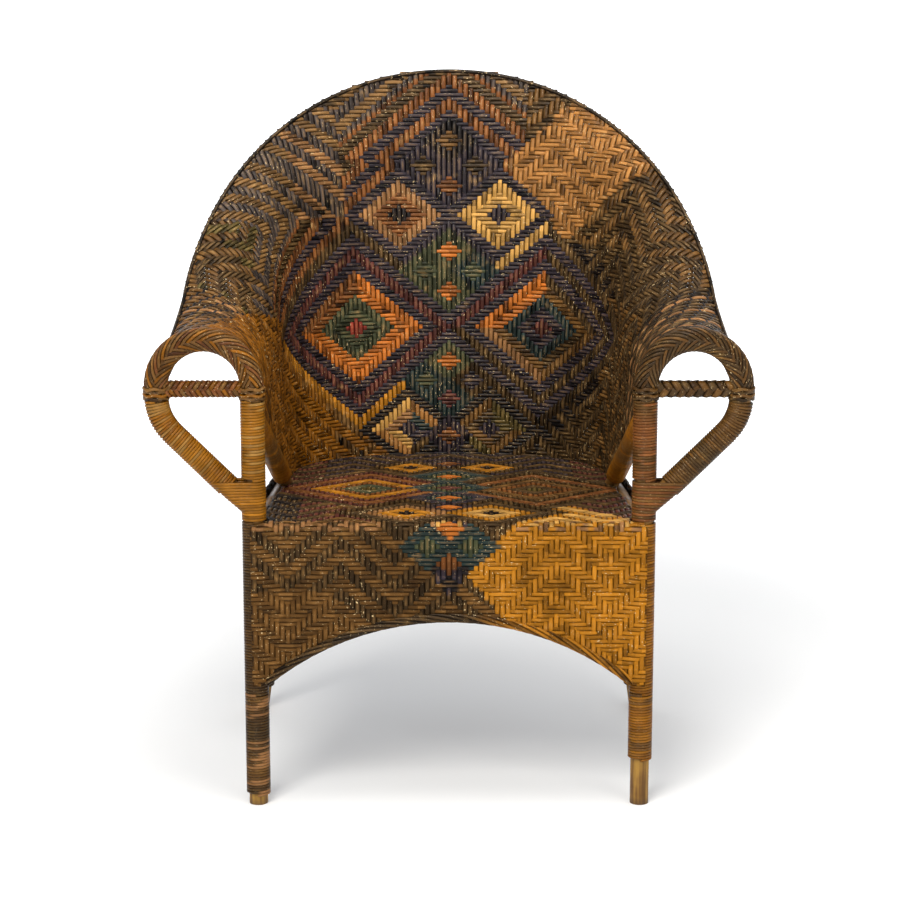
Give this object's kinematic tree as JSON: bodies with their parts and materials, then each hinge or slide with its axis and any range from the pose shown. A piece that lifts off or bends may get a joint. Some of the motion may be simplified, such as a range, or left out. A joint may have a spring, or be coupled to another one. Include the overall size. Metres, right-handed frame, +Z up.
{
  "type": "wicker armchair",
  "caption": "Woven barrel armchair on a bent rattan frame, with rolled arms, looped arm fronts and an arched apron.",
  "frame": {"origin": "middle of the chair's bounding box, on the floor", "axes": "+Z up, +X to the right as seen from the front, +Y to the back; the front faces -Y"},
  "size_m": [0.8322, 0.6458, 1.009],
  "materials": {
    "rattan_pole": "varnished, worn",
    "woven_reed": "stained and varnished twill weave",
    "cane_wrap": "varnished cane, scuffed",
    "plaited_reed": "varnished plait",
    "nail_iron": "plain wire nail"
  },
  "bodies": {
    "root": {"arm_brace_left": "rattan_pole", "arm_brace_right": "rattan_pole", "arm_braid_left": "plaited_reed", "arm_braid_right": "plaited_reed", "arm_collars_left": "cane_wrap", "arm_collars_right": "cane_wrap", "arm_crossbar_braid_left": "plaited_reed", "arm_crossbar_braid_right": "plaited_reed", "arm_crossbar_left": "rattan_pole", "arm_crossbar_right": "rattan_pole", "arm_hoop_left": "rattan_pole", "arm_hoop_right": "rattan_pole", "arm_panel_left": "woven_reed", "arm_panel_right": "woven_reed", "back_leg_left": "rattan_pole", "back_leg_right": "rattan_pole", "back_leg_wrap_left": "cane_wrap", "back_leg_wrap_right": "cane_wrap", "back_panel": "woven_reed", "back_rim_hoop": "rattan_pole", "brace_wrap_left": "cane_wrap", "brace_wrap_right": "cane_wrap", "corner_web_left": "cane_wrap", "corner_web_right": "cane_wrap", "frame_nails": "nail_iron", "front_apron": "woven_reed", "front_apron_rope": "plaited_reed", "front_foot_wrap_left": "cane_wrap", "front_foot_wrap_right": "cane_wrap", "front_leg_left": "rattan_pole", "front_leg_right": "rattan_pole", "front_leg_wrap_left": "cane_wrap", "front_leg_wrap_right": "cane_wrap", "post_wrap_left": "cane_wrap", "post_wrap_right": "cane_wrap", "rear_apron": "woven_reed", "rear_apron_rope": "plaited_reed", "seat_cross_bars": "rattan_pole", "seat_front_rail": "rattan_pole", "seat_panel": "woven_reed", "seat_rear_bow": "rattan_pole", "seat_side_rail_left": "rattan_pole", "seat_side_rail_right": "rattan_pole", "side_apron_left": "woven_reed", "side_apron_right": "woven_reed", "side_apron_rope_left": "plaited_reed", "side_apron_rope_right": "plaited_reed", "strut_wrap_left": "cane_wrap", "strut_wrap_right": "cane_wrap"}
  },
  "joints": []
}
